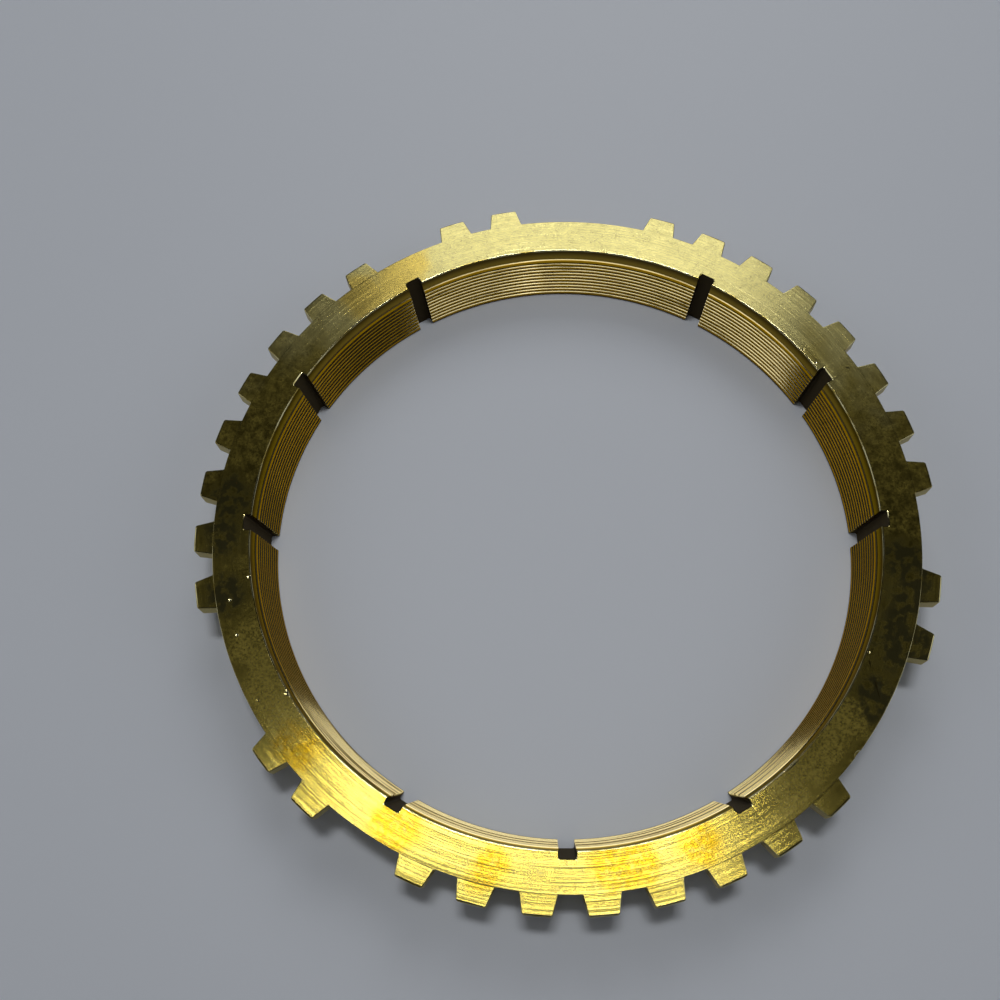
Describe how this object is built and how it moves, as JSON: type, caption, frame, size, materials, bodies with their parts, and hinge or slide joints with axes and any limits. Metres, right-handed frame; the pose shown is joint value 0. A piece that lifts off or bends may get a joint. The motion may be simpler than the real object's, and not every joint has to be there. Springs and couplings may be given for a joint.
{
  "type": "synchronizer ring",
  "caption": "Turned brass gearbox synchronizer ring: a grooved friction cone with axial oil slots inside, pointed dog teeth around the flange, and key slots in the outside of the body.",
  "frame": {"origin": "on the ring's axis, in the plane of its hub-side end", "axes": "+Z along the ring's axis towards the flange face, +Y through the middle of one key slot"},
  "size_m": [0.1198, 0.1187, 0.0111],
  "materials": {
    "turned_brass": "turned and used, with dark stains"
  },
  "bodies": {
    "root": {"synchronizer_ring": "turned_brass"}
  },
  "joints": []
}
